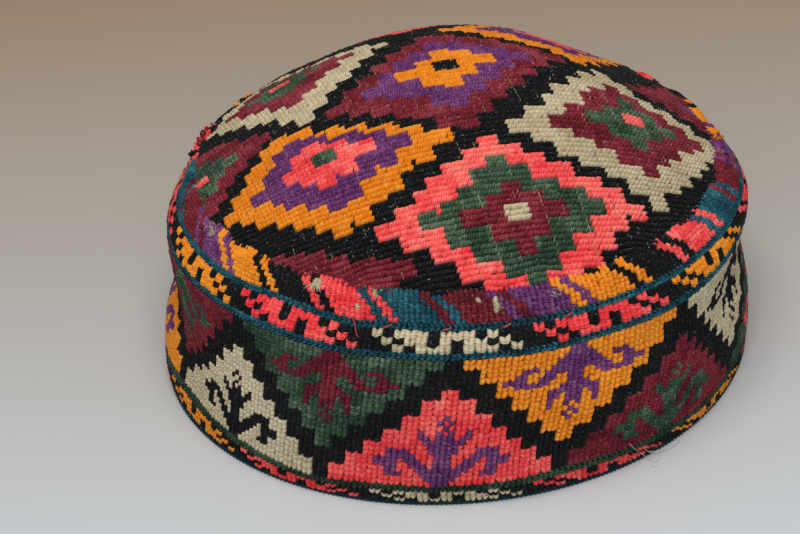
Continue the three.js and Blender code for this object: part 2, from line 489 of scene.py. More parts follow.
def canvas():
    """Undyed cotton in plain weave. Running holds two measures, and 1 where stitches cover it and shade
    is painted.
    """
    settings = {"Roughness": 0.92, "Sheen_Weight": 0.1}
    material, tree, shader = new_material("cotton_canvas", **settings, **HAIRY)
    running = add_node(tree, "ShaderNodeSeparateXYZ", Vector=stored(tree, "running", "Vector"))
    threads = []
    for axis in ("X", "Y"):
        angle = calculate(tree, "MULTIPLY", running.outputs[axis], 2 * np.pi / THREAD)
        threads.append(calculate(tree, "SINE", angle))
    weave = calculate(tree, "MULTIPLY", *threads)
    soil = noise(tree, SOIL_SIZE, detail=4.0)
    shade = calculate(tree, "MULTIPLY_ADD", weave, WEAVE_TONE, soil)
    cotton = fade(tree, shade, [(0.25, "#8f8062"), (0.75, "#cfc3a4")])
    # The outer face gets the painted shade colour, and the inner face keeps the cotton.
    colour = blend(tree, running.outputs["Z"], cotton, linear(PAINTED_SHADE_UNDER_STITCHES))
    finish_cloth(tree, shader, colour, weave, strength=0.8, depth=0.2)
    return material


canvas_material = canvas()
print("materials:", sorted(material.name for material in bpy.data.materials))

# %% [markdown]
# ## Meshes from arrays
# There are more than twenty thousand stitches, too many for one object each. Arrays hold the points
# of all stitches of one colour in one part of the hat, and one call turns them into a mesh that
# rides on the hat.
# %% Mesh helper
def make_piece(name, points, faces, material, **attributes):
    """A smooth mesh object from points and four cornered faces, with attributes on its points."""
    mesh = bpy.data.meshes.new(name)
    mesh.vertices.add(len(points))
    mesh.vertices.foreach_set("co", np.asarray(points, np.float32).ravel())
    mesh.loops.add(faces.size)
    mesh.loops.foreach_set("vertex_index", np.asarray(faces, np.int32).ravel())
    mesh.polygons.add(len(faces))
    mesh.polygons.foreach_set("loop_start", np.arange(len(faces), dtype=np.int32) * 4)
    mesh.update(calc_edges=True)
    mesh.polygons.foreach_set("use_smooth", np.ones(len(faces), dtype=bool))
    for key, values in attributes.items():
        kind, field = ("FLOAT", "value") if values.ndim == 1 else ("FLOAT_VECTOR", "vector")
        layer = mesh.attributes.new(key, kind, "POINT")
        layer.data.foreach_set(field, values.astype(np.float32).ravel())
    mesh.materials.append(material)
    piece = bpy.data.objects.new(name, mesh)
    bpy.context.scene.collection.objects.link(piece)
    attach(piece, "root")
    return piece


def grid_faces(count_u, count_v):
    """Faces of an open grid of points, count_u by count_v."""
    index = np.arange(count_u * count_v).reshape(count_u, count_v)
    corners = [index[:-1, :-1], index[1:, :-1], index[1:, 1:], index[:-1, 1:]]
    return np.stack(corners, axis=-1).reshape(-1, 4)


def ring_faces(count_u, count_v):
    """Faces of a grid whose two measures both close on themselves."""
    index = np.arange(count_u * count_v).reshape(count_u, count_v)
    next_u = np.roll(index, -1, axis=0)
    corners = [index, next_u, np.roll(next_u, -1, axis=1), np.roll(index, -1, axis=1)]
    return np.stack(corners, axis=-1).reshape(-1, 4)


def copied(faces, copies, points_each):
    """The faces of many copies of one shape."""
    return (faces[None] + np.arange(copies)[:, None, None] * points_each).reshape(-1, 4)


PATCHES = 61


def mottle(u, v, size_u, size_v, seed):
    """Soft random patches from -1 to 1 that are size_u by size_v large."""
    table = np.random.default_rng(seed).uniform(-1, 1, (PATCHES, PATCHES))
    x, y = u / size_u, v / size_v
    column, line = np.floor(x).astype(int), np.floor(y).astype(int)
    fx, fy = x - column, y - line
    fx, fy = fx * fx * (3 - 2 * fx), fy * fy * (3 - 2 * fy)

    def across(line):
        here, beside = (table[at % PATCHES, line % PATCHES] for at in (column, column + 1))
        return here * (1 - fx) + beside * fx

    return across(line) * (1 - fy) + across(line + 1) * fy


YARN_SEED = 31
YARN_ROWS = 2.5
YARN_STITCHES = 4
YARN_STAGGER = 0.37


def yarn_lengths(across, up):
    """One random tone from -1 to 1 for each patch of stitches that one length of yarn covers."""
    table = np.random.default_rng(YARN_SEED).uniform(-1, 1, (PATCHES, PATCHES))
    line = np.floor(up / YARN_ROWS).astype(int)
    column = np.floor(across / YARN_STITCHES + YARN_STAGGER * line).astype(int)
    return table[column % PATCHES, line % PATCHES]


# %% [markdown]
# ## One stitch
# A stitch wraps the yarn over one cord of the canvas: it dives into the cloth at both ends and
# bulges in between, and it shows as a small pillow that leans over, as the yarn crosses its cord
# aslant. Neighbours overlap a little, so a column of stitches reads as one upright rib. Every stitch
# is this one pillow of five by five points, laid on the cloth point by point, so that it follows
# each dent. No two are alike: each is a little wider, taller, fuller or more aslant than the next.
# The four rows of numbers are shares of a stitch from its middle and millimetres over the cloth.
# %% Stitch shape
PILLOW_ACROSS = np.array([-0.53, -0.33, 0.0, 0.33, 0.53])
PILLOW_CREST = np.array([-0.75, 0.14, 0.50, 0.14, -0.75])
PILLOW_ALONG = np.array([-0.56, -0.34, 0.0, 0.34, 0.56])
PILLOW_DIP = np.array([-0.55, -0.10, 0.0, -0.10, -0.55])

POINTS = len(PILLOW_ACROSS)
# How much stitches differ, as shares of a stitch, and for lift in millimetres.
SPREADS = {"width": 0.04, "length": 0.07, "drift": 0.05, "lean": 0.10, "lift": 0.07, "tone": 0.14}

pillow_grid = np.meshgrid(PILLOW_ACROSS, PILLOW_ALONG, indexing="ij")
pillow_across, pillow_along = (grid.ravel() for grid in pillow_grid)
pillow_crest = np.repeat(PILLOW_CREST, POINTS)
pillow_dip = np.tile(PILLOW_DIP, POINTS)
pillow_faces = grid_faces(POINTS, POINTS)


def differ(what, *shape):
    """Random differences between stitches."""
    return chance.normal(0, SPREADS[what], shape)


def sew(part, place, colours, u, v, size, tone, slant=0.35, over=0.08, dip=1.0, upright=True, plump=1.0):
    """Sews stitches of several colours at u, v. Upright ribs run along v, the others along u.

    Slant leans a stitch, over carries its ends aside, and dip sinks them into the cloth.
    """
    size_u, size_v = size
    made = 0
    for colour in np.unique(colours):
        pick = np.flatnonzero(colours == colour)
        count = len(pick)
        wide = 1 + differ("width", count, 1)
        tall = 1 + differ("length", count, 1)
        drift = differ("drift", 2, count, 1)
        lean = np.broadcast_to(slant, len(u))[pick][:, None] + differ("lean", count, 1)
        cross = pillow_across * wide + over * np.sign(lean) * pillow_along + drift[0]
        run = pillow_along * tall + lean * pillow_across + drift[1]
        if not upright:
            cross, run = run, cross
        at_u = u[pick][:, None] + cross * size_u
        at_v = v[pick][:, None] + run * size_v
        proud = (pillow_crest + dip * pillow_dip + differ("lift", count, 1)) * plump
        points = lay(place, at_u, at_v, proud).reshape(-1, 3)
        faces = copied(pillow_faces, count, POINTS**2)
        if not upright:
            faces = faces[:, ::-1]
        yarn = unevenness[colour] * yarn_lengths(u[pick] / size_u, v[pick] / size_v)
        shades = np.repeat(tone[pick] + yarn + differ("tone", count), POINTS**2)
        plies = np.tile(pillow_along, count)
        piece = make_piece(f"{part}_{colour}", points, faces, wools[colour], tone=shades, ply=plies)
        made += count
    print(part, made, "stitches in", list(np.unique(colours)))


# %% [markdown]
# ## Canvas of the side band and the crown
# Under the stitches lies the canvas itself, and inside the cap nothing covers it. Each canvas is a
# thin closed shell: an outer face just under the stitches, an inner face one wall further in, and
# rolled edges. It could be a solidified sheet, but building both faces from the same tables keeps
# the wall even and gives the weave its running measures.
# %% Canvas shells
INNER_FACE = 0.3 - WALL
CANVAS_ROWS = 34
# Degrees round from one column of points to the next.
BAND_STEP = 1.5
CROWN_STEP = 3.0


def shell(name, place, u, v, under):
    """A thin closed ring of canvas over turns u and measures v, its outer face at height under."""
    grid_u, grid_v = np.meshgrid(u, v, indexing="ij")
    outer = lay(place, grid_u, grid_v, np.full(grid_u.shape, under))
    inner = lay(place, grid_u, grid_v, np.full(grid_u.shape, INNER_FACE))
    loops = np.concatenate([outer, inner[:, ::-1]], axis=1)
    measure = np.concatenate([grid_v, grid_v[:, ::-1]], axis=1)
    girth = np.concatenate([grid_u, grid_u[:, ::-1]], axis=1) * (np.radians(1) * BASE_RADIUS)
    # 1 on the outer face, where the canvas material paints shade under the stitches, and 0 on the inner
    # face.
    shaded_under_stitches = np.concatenate([np.ones(grid_u.shape), np.zeros(grid_u.shape)], axis=1)
    running = np.stack([girth, measure, shaded_under_stitches], axis=-1).reshape(-1, 3)
    faces = ring_faces(*loops.shape[:2])
    return make_piece(name, loops.reshape(-1, 3), faces, canvas_material, running=running)


# The strip was cut as long as the way round the band at this radius.
BAND_UNDER = -1.0
band_rows = np.linspace(0, seam_along, CANVAS_ROWS)
band_canvas = shell("band_canvas", band_place, np.arange(0, 360, BAND_STEP), band_rows, BAND_UNDER)
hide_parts("side_band")


def crown_ray(turn, inward):
    """The crown's face by turn and millimetres from the seam inwards."""
    angle = np.radians(turn)
    distance = crown_reach - inward
    flat = turned(distance * np.sin(angle), -distance * np.cos(angle), -GRID_TURN)
    return crown_place(*grid_from_flat(*flat))


# The disc reaches a little over the seam, and its rows stop just short of the top.
SEAM_TUCK = 0.6
TOP_HOLE = 0.05
CROWN_UNDER = -0.8
crown_rows = np.linspace(-SEAM_TUCK, crown_reach - TOP_HOLE, CANVAS_ROWS)
crown_columns = np.arange(0, 360, CROWN_STEP)
crown_canvas = shell("crown_canvas", crown_ray, crown_columns, crown_rows, CROWN_UNDER)
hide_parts("crown_disc")
print("canvas faces:", len(band_canvas.data.polygons), len(crown_canvas.data.polygons))

# %% [markdown]
# ## Rows and columns of the band
# The band was embroidered as counted work: 336 stitches round, in rows from the rim to the seam.
# Three lines of two rows divide it, and each strip between them has its own number of rows. The
# rows are spread evenly inside their strip. The lean of the stitches changes from rib to rib.
# %% Strips of the band
COLUMNS = 336
PITCH = 360 / COLUMNS
GREEN_HALF = 1.2
TEAL_HALF = 1.05
OVER_EDGING = 0.5
OVER_SEAM = 0.8

green_line = along_at("green line") + 0.2
lower_line = along_at("lower line")
upper_line = along_at("upper line")
# Bottom and top in millimetres up the cloth, and the number of rows.
STRIPS = {
    "lower_border": (-OVER_EDGING, green_line - GREEN_HALF, 3),
    "green_line": (green_line - GREEN_HALF, green_line + GREEN_HALF, 2),
    "triangles": (green_line + GREEN_HALF, lower_line - TEAL_HALF, 26),
    "lower_line": (lower_line - TEAL_HALF, lower_line + TEAL_HALF, 2),
    "upper_border": (lower_line + TEAL_HALF, upper_line - TEAL_HALF, 3),
    "upper_line": (upper_line - TEAL_HALF, upper_line + TEAL_HALF, 2),
    "shoulder": (upper_line + TEAL_HALF, seam_along + OVER_SEAM, 7),
}

# Where the wool is worn off and pale cotton shows, sewn in cream: name, turn, millimetres up the
# cloth, width in degrees and height in millimetres.
WORN_PATCHES = [
    ("left shoulder", -31.2, 61.4, 1.9, 2.9),
    ("middle shoulder", -22.2, 58.8, 0.9, 1.5),
    ("teal block", 5.2, 59.5, 1.3, 3.8),
    ("seam on the left", -18.9, 62.9, 1.4, 1.6),
    ("seam in the middle", 2.1, 61.1, 1.2, 1.6),
]

# How much lighter each colour is here than on the crown.
BAND_TONES = {"coral": -0.35, "green": -0.1, "maroon": -0.25}
BAND_TONES.update({"purple": 0.15, "orange": 0.3, "cream": 0.2})
# Depth of the slow change in tone, its patches in degrees by millimetres, and its start.
MOTTLE_DEPTH = 0.22
MOTTLE_SIZE = (6, 9)
MOTTLE_START = (400, 50)


def strip_grid(name):
    """Column and row numbers of one strip's stitches, rows counted upwards."""
    rows = STRIPS[name][2]
    column, row = np.meshgrid(np.arange(COLUMNS), np.arange(rows), indexing="ij")
    return column.ravel(), row.ravel()


def sew_strip(name, colours, column, row, first_turn, twist=0.0, slant=0.24, dip=0.45, tint=0.0):
    """Sews one strip from first_turn on. Twist leans the ribs by the strip's top, in degrees."""
    slant = slant * np.where(column % 2 == 0, -1, 1)
    bottom, top, rows = STRIPS[name]
    tall = (top - bottom) / rows
    turn = first_turn + column * PITCH
    along = bottom + (row + 0.5) * tall

    def leant(turn, along):
        return turn + twist * (along - bottom) / (top - bottom)

    def leaning(turn, along):
        return band_place(leant(turn, along), along)

    patches = mottle(turn + MOTTLE_START[0], along + MOTTLE_START[1], *MOTTLE_SIZE, len(name))
    tone = tint + MOTTLE_DEPTH * patches
    tone = tone + sum(level * (colours == colour) for colour, level in BAND_TONES.items())
    for _, worn_turn, worn_along, wide, high in WORN_PATCHES:
        aside = turn_between(leant(turn, along), worn_turn) / (wide / 2)
        above = (along - worn_along) / (high / 2)
        colours = np.where(np.hypot(aside, above) < 1, "cream", colours).astype(object)
    sew(name, leaning, colours, turn, along, (PITCH, tall), tone, slant=slant, dip=dip)


# %% [markdown]
# ## Triangles with ram's horns
# Eight triangles stand on the green line and eight hang between them. Both step inwards by three
# stitches every three rows, and a ram's horn grows up the middle of each. Both horns are given as
# charts. Half of each is enough, because it is the same on both sides.
# %% Triangles
REPEAT = 42
TRIANGLE_TURN = -5.9
RIB_LEAN = 3.0
BASE_WIDTH = 39
STEP_ROWS = 3
STEP_WIDTH = 6
TRIANGLE_ROWS = 20

# From the middle of the triangle outwards, the row at its base first. X is the horn.
STANDING_HORN = [
    "XX",
    "XXX",
    "XXXX...XXX",
    "XXXXX...XX",
    "XX.XXX..XXXX",
    "XX..XXX.XXXX",
    "XX...XXXXX",
    "XXX...XXXX",
    "XXX",
    "XXXX",
    "XX.XX",
    ".X..X",
    "X",
    ".X",
    "X",
]
HANGING_HORN = [
    "XX",
    "XXX",
    "XXXX",
    "XXXXX..XXX",
    "XXXXXX...XX",
    "XX..XXX..XXXX",
    "XX...XXXXXX",
    "XXX",
    "XXXXX",
    "XX.XX",
    "XX..X",
    ".X..X",
    "X",
    ".X",
    "X",
]
# Ground and horn of each triangle, going right from the middle of the front.
STANDING = [("coral", "purple"), ("maroon", "green"), ("green", "coral"), ("cream", "black")]
STANDING += [("coral", "purple"), ("maroon", "green"), ("orange", "purple"), ("cream", "black")]
HANGING = [("orange", "purple"), ("cream", "black"), ("maroon", "green"), ("green", "maroon")] * 2


def read_chart(lines, height, width):
    """A field of that height and width that holds where the chart's lines have an X."""
    field = np.zeros((height, width), dtype=bool)
    for number, line in enumerate(lines):
        field[number, : len(line)] = [mark == "X" for mark in line]
    return field


def colour_triangles(colours, aside, row, colour_pairs, index, horn_lines, early):
    """Colours one set of triangles: aside is the column from the middle, row the one from the base.

    Early moves the steps of the edge that many rows towards the base.
    """
    chart = read_chart(horn_lines, STRIPS["triangles"][2], REPEAT)
    width = BASE_WIDTH - STEP_WIDTH * ((row + early) // STEP_ROWS)
    inside = (np.abs(aside) <= (width - 1) // 2) & (row < TRIANGLE_ROWS)
    horn = chart[row, np.abs(aside)] & inside
    for number, (ground, horn_colour) in enumerate(colour_pairs):
        colours[inside & (index == number)] = ground
        colours[horn & (index == number)] = horn_colour


column, row = strip_grid("triangles")
colours = np.full(len(column), "black", dtype=object)
half = REPEAT // 2
row_down = STRIPS["triangles"][2] - 1 - row
for shifted, rows_in, colour_pairs, horn_lines, early in (
    (column + half, row, STANDING, STANDING_HORN, 0),
    (column, row_down, HANGING, HANGING_HORN, 1),
):
    index = shifted // REPEAT % len(colour_pairs)
    aside = shifted % REPEAT - half
    colour_triangles(colours, aside, rows_in, colour_pairs, index, horn_lines, early)
sew_strip("triangles", colours, column, row, TRIANGLE_TURN, twist=RIB_LEAN)

# %% [markdown]
# ## Borders and lines
# The two narrow borders repeat one small running hook in three rows of stitches. The lines are two
# rows of small stitches that lean against each other, so they look like a thin plait.
# %% Borders and lines
# Top row first. Each mark is two stitches.
HOOK = [
    "X.XXX.XXX.X...",
    ".X.XX.X.XX.X..",
    "..X.XXX.XXX.X.",
]
HOOK_MARK = 2
HOOK_TURN = -18.2
HOOK_COLOURS = ["cream", "coral", "orange", "coral"]

hook_chart = read_chart(HOOK, len(HOOK), len(HOOK[0]))
hook_width = len(HOOK[0]) * HOOK_MARK
for border in ("lower_border", "upper_border"):
    column, row = strip_grid(border)
    marked = hook_chart[len(HOOK) - 1 - row, column % hook_width // HOOK_MARK]
    owners = np.array(HOOK_COLOURS, dtype=object)[column // hook_width % len(HOOK_COLOURS)]
    colours = np.where(marked, owners, "black").astype(object)
    sew_strip(border, colours, column, row, HOOK_TURN)

# How far the plaits' stitches lean. Name, colour and how much lighter than elsewhere its yarn is.
BRAID_SLANT = 0.7
LINES = [("green_line", "green", -0.5), ("lower_line", "teal", -0.15), ("upper_line", "teal", -0.15)]
for line, colour, tint in LINES:
    column, row = strip_grid(line)
    # Both rows lean one way all along, so the change of lean from rib to rib is taken out again.
    braid = BRAID_SLANT * np.where(row == 0, 1, -1) * np.where(column % 2 == 0, -1, 1)
    plain = np.full(len(column), colour, dtype=object)
    sew_strip(line, plain, column, row, HOOK_TURN, slant=braid, dip=1.0, tint=tint)

# %% [markdown]
# ## Slanted blocks of the shoulder
# Over the upper line the band folds inwards to the seam. Broad slanted blocks alternate there with
# two thin stripes: first one in the next block's colour and then one in the block's own.
# %% Shoulder
SHOULDER_TURN = 25.2
SHOULDER_STEP = 0.72
BLOCK = 8
STRIPE = 2
UNIT = BLOCK + 2 * STRIPE
SHOULDER_COLOURS = ["orange", "black", "coral", "teal", "maroon", "purple"]

column, row = strip_grid("shoulder")
slanted = (column + np.round(SHOULDER_STEP * row).astype(int)) % COLUMNS
unit = slanted // UNIT
unit = np.where(unit < COLUMNS // UNIT // 2, unit, unit - COLUMNS // UNIT)
place_in_unit = slanted % UNIT
own, following = (np.take(SHOULDER_COLOURS, at % len(SHOULDER_COLOURS)) for at in (unit, unit + 1))
in_next_stripe = (place_in_unit >= BLOCK) & (place_in_unit < BLOCK + STRIPE)
colours = np.where(in_next_stripe, following, own).astype(object)
sew_strip("shoulder", colours, column, row, SHOULDER_TURN)

# %% [markdown]
# ## Diamonds of the crown
# The crown is one field of stepped diamonds. Each has a small middle cell and three rings of cells
# round it, two cells deep, most rings in another colour. The maker counted cells of about four
# stitches by two or three rows, and let the cloth pull each diamond a little out of true, so the
# table gives the middle and the four tips of each as measured on the flat crown. A stitch asks
# which cell it lies in, and the cell gives its colour.
# %% Diamonds
RINGS = 6
# Half sizes of the middle and of the arms in stitches, and the passes of the count.
MIDDLE_ACROSS = 2.5
MIDDLE_UP = 1.5
ARM_ACROSS = 2.0
HALF_STITCH = 0.5
PASSES = 3

# Colours from the middle outwards.
CREAM_HEART = ("cream", "maroon", "green", "coral")
GREEN_HEART = ("green", "coral", "purple", "orange")
CORAL_HEART = ("coral", "green", "maroon", "cream")
BLACK_HEART = ("black", "orange", "purple", "maroon")
ORANGE_HEART = ("orange", "coral", "green", "maroon")
DARK_EDGE = ("coral", "purple", "maroon", "maroon")
# Name and colours, then the middle and the left, right, top and bottom tip: millimetres to the
# right and to the back of the crown's top, as measured on the flat crown.
DIAMONDS = [
    ("front", CREAM_HEART, (7.2, -63.8), (-33.4, -61.6), (47, -60.2), (2, -37.8), (12, -99)),
    ("left", GREEN_HEART, (-43.8, -28.3), (-78.5, -28.5), (-6.5, -36), (-57, -8), (-42, -58.3)),
    ("right", CORAL_HEART, (52, -23), (9.8, -34.8), (89, -19), (46.5, 3.5), (54.5, -58)),
    ("top", BLACK_HEART, (-2.7, -5), (-39.5, -11), (35, 3), (-5, 18.5), (0.8, -34.8)),
    ("left back", CORAL_HEART, (-51, 32), (-79, 30), (-15, 20.5), (-58, 55), (-44.2, -9.5)),
    ("right back", GREEN_HEART, (41, 32), (1.5, 24), (74, 52), (30, 57), (42.5, 5)),
    ("far left", ORANGE_HEART, (-96, 2), (-126, 0), (-57.5, -3.5), (-92, 28), (-86, -24)),
    ("front left", DARK_EDGE, (-67, -79), (-107, -79), (-24.5, -74.5), (-66, -53), (-66, -112)),
    ("far right", DARK_EDGE, (94, 12), (58, 4), (130, 14), (90, 40), (96, -12)),
    ("back", CREAM_HEART, (-10, 66), (-49, 64), (29, 70), (-16, 92), (-7, 33)),
    ("back left", GREEN_HEART, (-62, 88), (-100, 86), (-24, 90), (-64, 115), (-58, 58)),
    ("back right", BLACK_HEART, (34, 92), (-4, 88), (72, 96), (30, 120), (34, 60)),
]


def cell_number(offset, ahead, behind, half):
    """Number of the cell at an offset from the middle, between tips ahead and behind."""
    distance = np.abs(offset)
    size = (np.where(offset > 0, ahead, behind) - half) / RINGS
    return np.where(distance <= half, 0, np.ceil((distance - half) / size))


def rings_out(across, up, middle, left, right, top, bottom):
    """How many cells, counted along both ways, a stitch is away from the middle of a diamond."""
    centre = np.round(grid_from_flat(*middle))
    tips = [np.subtract(grid_from_flat(*tip), centre) for tip in (left, right, top, bottom)]
    to_left, to_right, to_top, to_bottom = tips
    aside, upward = across - centre[0], up - centre[1]
    cell_across = np.zeros_like(aside)
    # A bent arm moves the cells along it, so both counts depend on each other.
    for _ in range(PASSES):
        arm = np.where(aside > 0, to_right[1], to_left[1])
        level = upward - np.round(arm * np.minimum(cell_across, RINGS) / RINGS)
        cell_up = cell_number(level, to_top[1], -to_bottom[1], MIDDLE_UP)
        arm = np.where(level > 0, to_top[0], to_bottom[0])
        on_arm = cell_up > 0
        bent = np.round(arm * np.minimum(cell_up, RINGS) / RINGS)
        beside = aside - bent - HALF_STITCH * on_arm * np.sign(level)
        core = np.where(on_arm, ARM_ACROSS, MIDDLE_ACROSS)
        cell_across = cell_number(beside, to_right[0], -to_left[0], core)
    return cell_across + cell_up


# Stitches and rows each way from the top, a few more than the disc holds.
REACHES = (75, 62)
counts = np.meshgrid(*(np.arange(-reach, reach + 1.0) for reach in REACHES), indexing="ij")
across, up = (count.ravel() for count in counts)
flat_x, flat_y = flat_from_grid(across, up)
on_crown = np.hypot(flat_x, flat_y) < crown_reach + OVER_SEAM
across, up = across[on_crown], up[on_crown]

colours = np.full(len(across), "black", dtype=object)
nearest = np.full(len(across), RINGS + 1.0)
for _, ring_colours, *places in DIAMONDS:
    out = rings_out(across, up, *places)
    closer = out < nearest
    ring_number = np.minimum((out + 1) // 2, len(ring_colours) - 1).astype(int)
    colours[closer] = np.array(ring_colours, dtype=object)[ring_number[closer]]
    nearest[closer] = out[closer]

# Ribs stand in pairs, a little closer to each other than to the next pair.
PAIR_GAP = 0.05
CROWN_START = 100
far = across + CROWN_START, up + CROWN_START
tone = MOTTLE_DEPTH * mottle(*far, size_u=9, size_v=5, seed=5)
paired = across + PAIR_GAP * np.where(across % 2 == 0, 1, -1)
sew("crown", crown_place, colours, paired, up, (1, 1), tone, slant=0.6, over=0, dip=0.5, upright=False)

# Thin specks of canvas show between stitches, most of them in broken lines along every fourth rib.
SPLIT_EVERY = 4
SPLIT_ABOVE = 0.1
SPLIT_SHARE = 0.55
OTHER_SHARE = 0.012
SPECK_SIZE = (0.2, 0.9)
# The specks are darkened by painted shade, because they lie deep in the gaps between the stitches.
SPECK_SHADE = -0.6
broken = mottle(*far, size_u=2, size_v=5, seed=8) > SPLIT_ABOVE
split_line = (across % SPLIT_EVERY == 0) & broken
bare = chance.random(len(across)) < np.where(split_line, SPLIT_SHARE, OTHER_SHARE)
specks = np.full(bare.sum(), "cream", dtype=object)
beside, shaded_tone = across[bare] + HALF_STITCH, tone[bare] + SPECK_SHADE
sew("crown_specks", crown_place, specks, beside, up[bare], SPECK_SIZE, shaded_tone, plump=0.5)

# %% [markdown]
# ## Overcast rim
# The rim is bound with dark teal wool: a turned edge of canvas and yarn under 400 slanted
# overcast stitches. The core is a closed ring, and each stitch is a short strip bent over it.
# %% Rim
RIM_STITCHES = 400
RIM_HEIGHT = 1.2
RIM_HALF = WALL / 2 + 0.2
RIM_CORE_TONE = -1.3
RIM_TONE = -1.1
RIM_TONE_SPREAD = 0.25
RIM_ADVANCE = 1.1
ON_TABLE = 0.0002
CORE_STEP = 1.2
CORE_ROWS = 10
# Half of the outline from the foot up: share of the half width, and share of the height.
RIM_OUTLINE = [(0.62, 0.0), (0.9, 0.2), (1.0, 0.52), (0.78, 0.86), (0.44, 1.0)]
# Across one overcast stitch: shares of its width, and how far it stands proud in millimetres.
OVERCAST_SIDES = [-0.5, -0.3, 0.3, 0.5]
OVERCAST_PROUD = [-0.15, 0.22, 0.22, -0.15]
OVERCAST_BENDS = 8
OVERCAST_DIVE = 0.25

rim_loop = RIM_OUTLINE + [(-across_share, up_share) for across_share, up_share in reversed(RIM_OUTLINE)]
rim_across, rim_up = np.array(rim_loop).T


def rim_face(turn, share):
    """The rim's face: share runs once round its outline, from the foot outside to the foot inside."""
    hem = band_form(turn, 0 * turn)
    angle = np.radians(turn)
    steps = np.linspace(0, 1, len(rim_loop))
    reach = np.interp(share, steps, rim_across) * RIM_HALF - WALL / 2
    hem[..., 0] += reach * np.sin(angle)
    hem[..., 1] -= reach * np.cos(angle)
    hem[..., 2] = np.interp(share, steps, rim_up) * RIM_HEIGHT
    return hem


core_grid = np.meshgrid(np.arange(0, 360, CORE_STEP), np.linspace(0, 1, CORE_ROWS), indexing="ij")
core_turn, core_share = core_grid
core_points = (rim_face(core_turn, core_share) + shift) * MM
core_points[..., 2] = np.maximum(core_points[..., 2], ON_TABLE)
core_faces = ring_faces(*core_turn.shape)
core = {"tone": np.full(core_turn.size, RIM_CORE_TONE), "ply": core_share.ravel() * 3}
rim_core = make_piece("rim_core", core_points.reshape(-1, 3), core_faces, wools["teal"], **core)
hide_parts("rim_edging")

number = np.arange(RIM_STITCHES)[:, None, None]
bend = np.linspace(0.1, 0.9, OVERCAST_BENDS)[None, :, None]
side = np.array(OVERCAST_SIDES)[None, None, :]
stitch_turn = (number + side + RIM_ADVANCE * bend) * 360 / RIM_STITCHES
stitch_share = bend + 0 * stitch_turn
lift = np.array(OVERCAST_PROUD)[None, None, :] + 0 * stitch_turn
lift[:, [0, -1], :] -= OVERCAST_DIVE
points = lay(rim_face, stitch_turn, stitch_share, -lift)
points[..., 2] = np.maximum(points[..., 2], 0.0)
each = OVERCAST_BENDS * len(OVERCAST_SIDES)
turned_over = grid_faces(OVERCAST_BENDS, len(OVERCAST_SIDES))[:, [0, 3, 2, 1]]
faces = copied(turned_over, RIM_STITCHES, each)
overcast_tone = np.repeat(chance.normal(RIM_TONE, RIM_TONE_SPREAD, RIM_STITCHES), each)
overcast = {"tone": overcast_tone, "ply": np.tile(OVERCAST_SIDES, RIM_STITCHES * OVERCAST_BENDS)}
rim_overcast = make_piece("rim_overcast", points.reshape(-1, 3), faces, wools["teal"], **overcast)
print("rim stitches:", RIM_STITCHES)

# %% [markdown]
# ## Loose threads
# The cap is old. A few ends of wool have worked loose at the seam, where it was handled most, one
# end hangs over the upper border, and small knots sit on the line above it. Each is a thin bent
# tube along a short path, and the tufts are bundles of such tubes with random bends.
# %% Loose threads
THREAD_SIDES = 6
TIP = 0.15
PLY_STEP = 0.3
ANY_WAY = (0.31, 0.22, 0.93)


def thread(path, radius, tone):
    """Points, faces and attributes of a thin tube along a path, in metres, narrowed at both ends."""
    path = np.asarray(path)
    along = np.gradient(path, axis=0)
    along /= np.linalg.norm(along, axis=1, keepdims=True)
    aside = np.cross(along, ANY_WAY)
    aside /= np.linalg.norm(aside, axis=1, keepdims=True)
    over = np.cross(along, aside)
    girth = np.full(len(path), radius)
    girth[[0, -1]] = radius * TIP
    angle = np.linspace(0, 2 * np.pi, THREAD_SIDES, endpoint=False)
    cosine, sine = np.cos(angle)[None, :, None], np.sin(angle)[None, :, None]
    circle = cosine * aside[:, None] + sine * over[:, None]
    points = (path[:, None] + girth[:, None, None] * circle).reshape(-1, 3)
    index = np.arange(len(points)).reshape(-1, THREAD_SIDES)
    around = np.roll(index, -1, axis=1)
    faces = np.stack([index[:-1], around[:-1], around[1:], index[1:]], axis=-1).reshape(-1, 4)
    plies = np.repeat(np.arange(len(path)) * PLY_STEP, THREAD_SIDES)
    return points, faces, np.full(len(points), tone), plies


def band_path(knots, steps):
    """A smooth path over rows of turn, millimetres up the cloth and millimetres proud."""
    turn, along, proud = np.array(knots, dtype=float).T
    at = np.linspace(0, len(knots) - 1, steps)
    order = np.arange(len(knots), dtype=float)
    path = lay(band_place, *(smooth(order, measure, at) for measure in (turn, along, proud)))
    path[:, 2] = np.maximum(path[:, 2], ON_TABLE)
    return path


def thread_piece(name, colour, paths, radius, tones, steps=14):
    """One mesh of threads of one colour, with a tone for each. Radius is in millimetres."""
    threads = [thread(band_path(path, steps), radius * MM, tone) for path, tone in zip(paths, tones)]
    points, faces, shades, plies = zip(*threads)
    starts = np.cumsum([0] + [len(group) for group in points])
    faces = np.concatenate([group + start for group, start in zip(faces, starts)])
    fields = {"tone": np.concatenate(shades), "ply": np.concatenate(plies)}
    piece = make_piece(name, np.concatenate(points), faces, wools[colour], **fields)
    print(name, len(paths), "threads")


LOOSE_END = [(-22.9, 55.4, 0.2), (-22.3, 54.4, 1.0), (-21.6, 52.6, 1.1)]
LOOSE_END += [(-21.2, 51.4, 1.0), (-20.4, 50.1, 0.9)]
thread_piece("loose_end", "maroon", [LOOSE_END], radius=0.24, tones=[0.5])

# A knot is a short bow of yarn just under the upper line, as steps from its turn and from there.
KNOT_TURNS = [-15.9, -4.8, 6.2, 18.0]
KNOT_BOW = [(-0.7, 0, 0.1), (-0.2, 0.1, 0.9), (0.6, 0.6, 0.8), (0.9, 1.0, 0.0)]
KNOT_UNDER = 0.7
knots = []
for knot_turn in KNOT_TURNS:
    low = upper_line - KNOT_UNDER
    knots.append([(knot_turn + aside, low + rise, proud) for aside, rise, proud in KNOT_BOW])
thread_piece("border_knots", "maroon", knots, radius=0.3, tones=[1.2] * len(knots))

